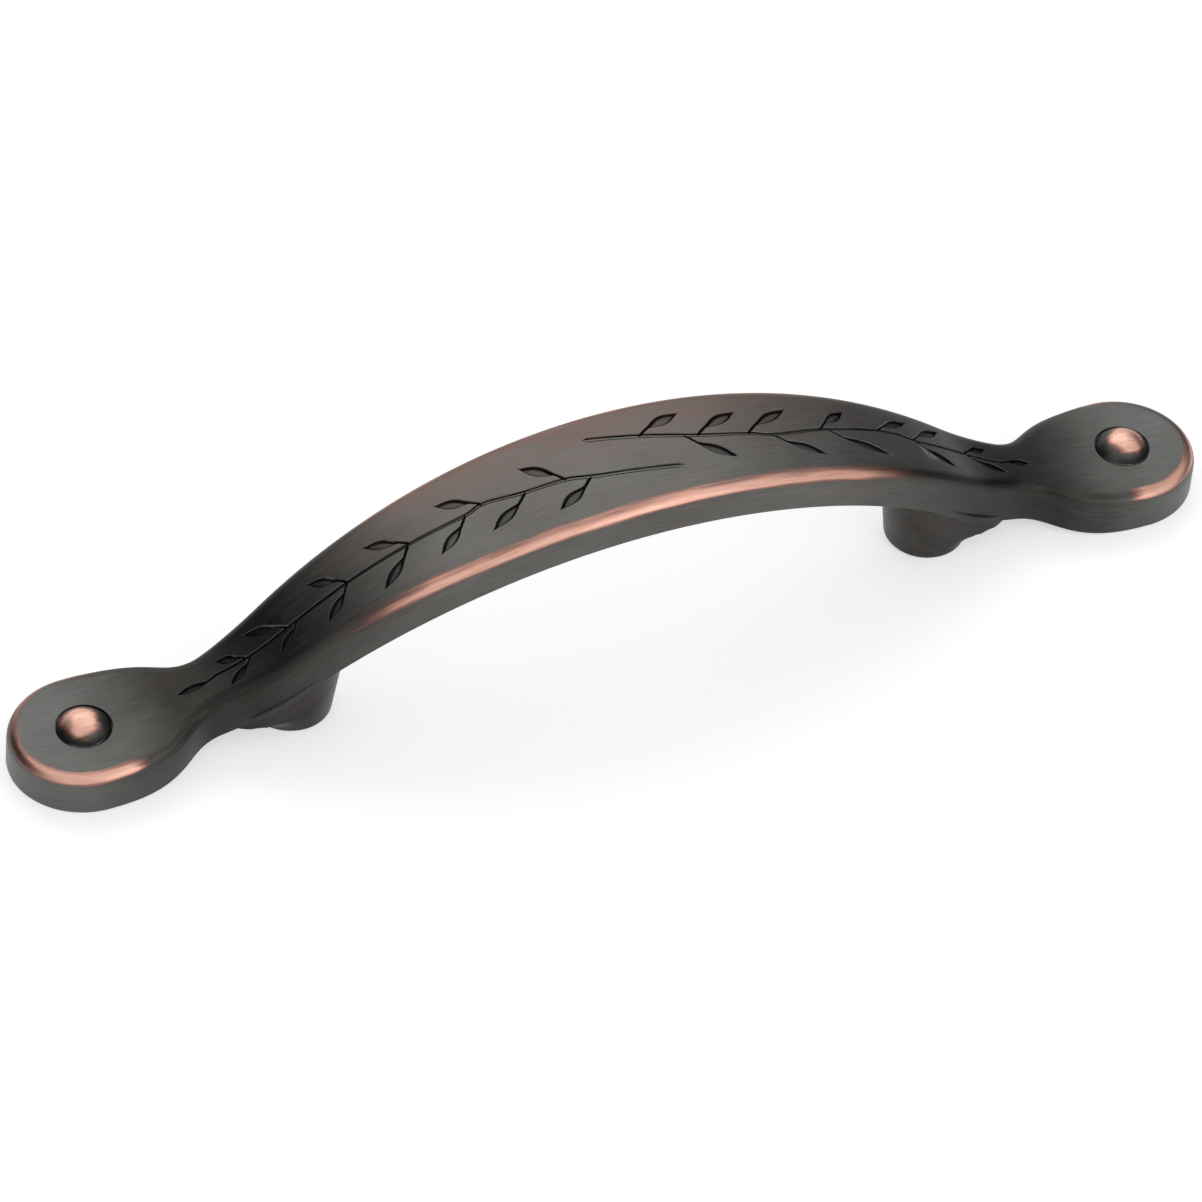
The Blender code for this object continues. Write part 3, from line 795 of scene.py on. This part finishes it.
# %% [markdown]
# Oil-rubbed bronze on a die-cast pull is copper plating under a dark chemical finish. A wire brush leaves
# fine scratches along the pull. Copper comes through where the finish is worn, in streaks at first and
# solid in the middle of the edge. Both layers are metal, so metallic is 1 all over and the IOR stays at
# its default. The scratches change colour, roughness and height together. First come small helpers that
# add the kinds of node which this material needs many of.

# %% Nodes for the finish
bronze, tree = new_material("oil_rubbed_bronze_brushed")
grain_place = add_node(tree, "ShaderNodeAttribute", attribute_name="grain").outputs["Vector"]
NOISE_LOW, NOISE_HIGH = 0.3, 0.7
NOISE_ROUGHNESS = 0.6


def attribute(name):
    return add_node(tree, "ShaderNodeAttribute", attribute_name=name).outputs["Fac"]


def grain_noise(scale, detail, seed):
    """Noise in the brushed metal: scale gives its changes per metre along, across and down."""
    place = add_node(
        tree, "ShaderNodeMapping", {"Vector": grain_place, "Scale": scale, "Location": (seed, seed, seed)}
    )
    return add_node(
        tree, "ShaderNodeTexNoise",
        {"Vector": place.outputs["Vector"], "Scale": 1.0, "Detail": detail, "Roughness": NOISE_ROUGHNESS},
    ).outputs["Fac"]


def spread(value, low, high, start=0.0, end=1.0):
    """Stretch the range low to high of a value over start to end."""
    return add_node(
        tree, "ShaderNodeMapRange",
        {"Value": value, "From Min": low, "From Max": high, "To Min": start, "To Max": end},
    ).outputs["Result"]


def blend(factor, first, second):
    """Mix two colours. A Mix node has a set of sockets for each kind of value, colours at 6, 7 and 2."""
    return add_node(
        tree, "ShaderNodeMix", {0: factor, 6: first, 7: second}, data_type="RGBA"
    ).outputs[2]


def spread_noise(noise, start=0.0, end=1.0):
    """Stretch the range where a noise mostly lies over start to end."""
    return spread(noise, NOISE_LOW, NOISE_HIGH, start, end)


def reckon(operation, first, second):
    return add_node(tree, "ShaderNodeMath", {0: first, 1: second}, operation=operation).outputs["Value"]


# %% [markdown]
# Three noises on the grain make the pattern: fine scratches, broader strokes of the brush, and clouds where
# the chemical finish took unevenly. The finish is lighter along a scratch, warmer where it is thin, and
# darkest down in the carving and in the painted shade round the foot of each bead. Real brush scratches are
# about 0.05 mm wide, which is too fine to show in the picture, so they are drawn about 0.3 mm wide and
# 4.5 mm long. The strokes are about 0.9 mm wide and 14 mm long, and the clouds are 8 to 11 mm across.

# %% Pattern and dark finish
SCRATCHES_PER_METRE = (220, 3600, 3600)
STROKES_PER_METRE = (70, 1100, 1100)
CLOUDS_PER_METRE = (90, 130, 130)
CLOUD_SHADE = 0.15
THINNEST, THICKEST = 0.8, 0.2
GROOVE_DARKENING = 0.8
FULL_LIGHTENING = 1.5

scratches = grain_noise(SCRATCHES_PER_METRE, detail=3.0, seed=1.0)
strokes = grain_noise(STROKES_PER_METRE, detail=2.0, seed=5.0)
clouds = grain_noise(CLOUDS_PER_METRE, detail=2.0, seed=9.0)
along_scratch = spread_noise(scratches)
# The lighter grey is brush wear, and on the middle of the arch and the lips it is also painted highlight
uneven = reckon("ADD", attribute("brushing_and_light"), spread_noise(clouds, -CLOUD_SHADE, CLOUD_SHADE))
lighter_grey = blend(along_scratch, linear("#646664"), linear("#787b78"))
darker_grey = blend(along_scratch, linear("#272826"), linear("#363735"))
dark = blend(spread(uneven, 0.0, FULL_LIGHTENING), darker_grey, lighter_grey)
thin = reckon("MULTIPLY", attribute("warm"), spread_noise(strokes, THICKEST, THINNEST))
dark = blend(thin, dark, linear("#765c55"))
# The darkest colour is patina down in the carving, and painted shade round the foot of each bead
dark = blend(reckon("MULTIPLY", attribute("patina_and_bead_shade"), GROOVE_DARKENING), dark, linear("#1a1a18"))
print("dark finish:", len(tree.nodes), "nodes")

# %% [markdown]
# Copper is bare on the rounded edge and on the crowns of the beads. It fades in from the top and stops
# sooner towards the side, and the brush tears its border into streaks. Where it only begins to show, it is
# a deeper red. The scratches run along the pull and spread a reflection across it, so the shader is
# anisotropic and its tangent points across.

# %% Bare copper and the whole finish
EDGE_FROM_TOP = (-1.0, 0.9)
EDGE_FROM_SIDE = (1.9, 1.2)
TEAR_SHARE = 0.3
FULLY_BARE = 0.6
SMOOTHEST, ROUGHEST = 0.36, 0.44
GROOVE_ROUGHENING = 0.1
SCRATCH_DEPTH = 0.02 * MM
SCRATCH_STRENGTH = 0.3
ANISOTROPY = 0.6

edge_in = spread(attribute("over_edge"), *EDGE_FROM_TOP)
edge_out = spread(attribute("over_edge"), *EDGE_FROM_SIDE)
edge_wear = reckon("MULTIPLY", reckon("MINIMUM", edge_in, edge_out), attribute("rub"))
worn = reckon("MAXIMUM", edge_wear, attribute("crown"))
tear = reckon("ADD", spread_noise(scratches, 0.0, TEAR_SHARE), spread_noise(strokes, 0.0, TEAR_SHARE))
bare = spread(reckon("SUBTRACT", worn, tear), 0.0, FULLY_BARE)
copper = blend(along_scratch, linear("#dda18c"), linear("#f6cab9"))
copper = blend(bare, linear("#9c4c36"), copper)

in_groove = reckon("MULTIPLY", attribute("patina_and_bead_shade"), GROOVE_ROUGHENING)
roughness = reckon("ADD", spread_noise(scratches, SMOOTHEST, ROUGHEST), in_groove)
relief = add_node(
    tree, "ShaderNodeBump", {"Height": scratches, "Strength": SCRATCH_STRENGTH, "Distance": SCRATCH_DEPTH}
).outputs["Normal"]
across = add_node(tree, "ShaderNodeCombineXYZ", {"X": 0.0, "Y": 1.0, "Z": 0.0}).outputs["Vector"]
finish = add_node(
    tree, "ShaderNodeBsdfPrincipled",
    {
        "Base Color": blend(bare, dark, copper), "Metallic": 1.0, "Roughness": roughness,
        "Anisotropic": ANISOTROPY, "Tangent": across, "Normal": relief,
    },
)
add_node(tree, "ShaderNodeOutputMaterial", {"Surface": finish.outputs["BSDF"]})
pull.data.materials.clear()
pull.data.materials.append(bronze)
print("whole finish:", len(tree.nodes), "nodes")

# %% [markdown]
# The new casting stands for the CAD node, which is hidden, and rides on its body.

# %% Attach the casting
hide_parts("drawer_pull")
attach(pull, "root")

# %% [markdown]
# The pull lies on white card that runs off to all sides. Light Path makes the world plain white wherever
# the camera or a reflection sees it, and adds a little light of its own to the card there, so that the
# card comes out white too. The card is still lit from above, so it keeps the soft shadow of the pull. It
# lies a hair below the feet, because two faces in one plane would flicker.

# %% Floor and world
FILL_STRENGTH = 0.6
CARD_GLOW = 0.55
CARD_GAP = 0.02 * MM
CARD_SIZE = 8.0


def seen_directly(tree):
    """1 for camera, glossy and transmission rays, 0 for the rest."""
    rays = add_node(tree, "ShaderNodeLightPath").outputs
    first_two = add_node(
        tree, "ShaderNodeMath", {0: rays["Is Camera Ray"], 1: rays["Is Glossy Ray"]}, operation="MAXIMUM"
    )
    return add_node(
        tree, "ShaderNodeMath", {0: first_two.outputs["Value"], 1: rays["Is Transmission Ray"]},
        operation="MAXIMUM",
    ).outputs["Value"]


bpy.ops.mesh.primitive_plane_add(size=CARD_SIZE, location=(0, 0, -CARD_GAP))
floor = bpy.context.active_object
floor.name = "white_card"
card, tree = new_material("white_card")
glow = add_node(tree, "ShaderNodeMath", {0: seen_directly(tree), 1: CARD_GLOW}, operation="MULTIPLY")
card_shader = add_node(
    tree, "ShaderNodeAddShader",
    {
        0: add_node(tree, "ShaderNodeBsdfDiffuse", {"Color": linear("#ececec")}).outputs["BSDF"],
        1: add_node(tree, "ShaderNodeEmission", {"Strength": glow.outputs["Value"]}).outputs["Emission"],
    },
)
add_node(tree, "ShaderNodeOutputMaterial", {"Surface": card_shader.outputs["Shader"]})
floor.data.materials.append(card)

world = bpy.data.worlds.new("white_studio")
world.use_nodes = True
world.node_tree.nodes.clear()
tree = world.node_tree
strength = add_node(
    tree, "ShaderNodeMapRange", {"Value": seen_directly(tree), "To Min": FILL_STRENGTH, "To Max": 1.0}
)
sky = add_node(tree, "ShaderNodeBackground", {"Strength": strength.outputs["Result"]})
add_node(tree, "ShaderNodeOutputWorld", {"Surface": sky.outputs["Background"]})
bpy.context.scene.world = world
print("floor:", floor.name, "under", world.name)

# %% [markdown]
# Metal shows its surroundings, so the light on it is made of large plain shapes. A soft box stands where
# the level faces mirror it to the camera, and a smaller one fills in from the front. A black card on each
# side darkens what the two slopes of the arch mirror; only reflections see these cards, so they take no
# light from the floor.

# %% Soft boxes and black cards
TARGET = Vector((0, 0, 15 * MM))

black, tree = new_material("black_card")
dull = add_node(tree, "ShaderNodeBsdfDiffuse", {"Color": linear("#0c0c0c")})
add_node(tree, "ShaderNodeOutputMaterial", {"Surface": dull.outputs["BSDF"]})


def add_soft_box(name, place, width, height, power):
    """A lamp in watts behind a white cloth of a size in metres, turned to the pull."""
    bpy.ops.object.light_add(type="AREA", location=place)
    box = bpy.context.active_object
    box.name = name
    box.data.shape = "RECTANGLE"
    box.data.size, box.data.size_y = width, height
    box.data.energy = power
    box.rotation_euler = (TARGET - Vector(place)).to_track_quat("-Z", "Y").to_euler()
    box.visible_camera = False


def add_black_card(name, place, width, height):
    """A card of a size in metres, turned to the pull, that only reflections see."""
    bpy.ops.mesh.primitive_plane_add(size=1.0, location=place)
    flag = bpy.context.active_object
    flag.name = name
    flag.scale = (width, height, 1.0)
    flag.rotation_euler = (TARGET - Vector(place)).to_track_quat("Z", "Y").to_euler()
    flag.visible_camera = False
    flag.visible_diffuse = False
    flag.visible_shadow = False
    flag.data.materials.append(black)


add_soft_box("soft_box_back", place=(0.10, 0.49, 0.59), width=0.80, height=0.40, power=1.2)
add_soft_box("soft_box_front", place=(0.24, -0.56, 0.48), width=0.30, height=0.30, power=0.45)
add_black_card("black_card_left", place=(-0.60, 0.30, 0.30), width=1.0, height=0.6)
add_black_card("black_card_right", place=(0.75, 0.15, 0.18), width=0.9, height=0.4)
print("studio:", len(bpy.data.lights), "soft boxes, 2 black cards")

# %% [markdown]
# The camera stands far back with a long lens, as a shop's camera does, so the lines stay nearly parallel.
# Its angles come from the photograph: it looks down at about 46 degrees, from the left of the front. The
# lens and the sensor are given in millimetres, as on a camera.

# %% Camera
CAMERA_ELEVATION = radians(45.91)
CAMERA_YAW = radians(-27.58)
CAMERA_ROLL = radians(5.44)
CAMERA_DISTANCE = 941.9 * MM
CAMERA_TARGET = Vector((0, 0, 12 * MM))
SHIFT_RIGHT = -1.88 * MM
SHIFT_UP = -6.76 * MM
SENSOR_WIDTH = 36.0
LENS = 259.07

back = Vector((
    sin(CAMERA_YAW) * cos(CAMERA_ELEVATION),
    -cos(CAMERA_YAW) * cos(CAMERA_ELEVATION),
    sin(CAMERA_ELEVATION),
))
right = Vector((cos(CAMERA_YAW), sin(CAMERA_YAW), 0))
up = back.cross(right)
rolled_right = cos(CAMERA_ROLL) * right + sin(CAMERA_ROLL) * up
rolled_up = cos(CAMERA_ROLL) * up - sin(CAMERA_ROLL) * right
bpy.ops.object.camera_add()
camera = bpy.context.active_object
camera.name = "camera"
camera.data.sensor_width = SENSOR_WIDTH
camera.data.lens = LENS
placing = Matrix((rolled_right, rolled_up, back)).transposed().to_4x4()
aside = rolled_right * SHIFT_RIGHT + rolled_up * SHIFT_UP
placing.translation = CAMERA_TARGET + back * CAMERA_DISTANCE + aside
camera.matrix_world = placing
bpy.context.scene.camera = camera
print("camera at", [round(value, 3) for value in placing.translation], "m")

# %% [markdown]
# The picture is shown in plain colours.

# %% Finish
bpy.context.scene.view_settings.view_transform = "Standard"
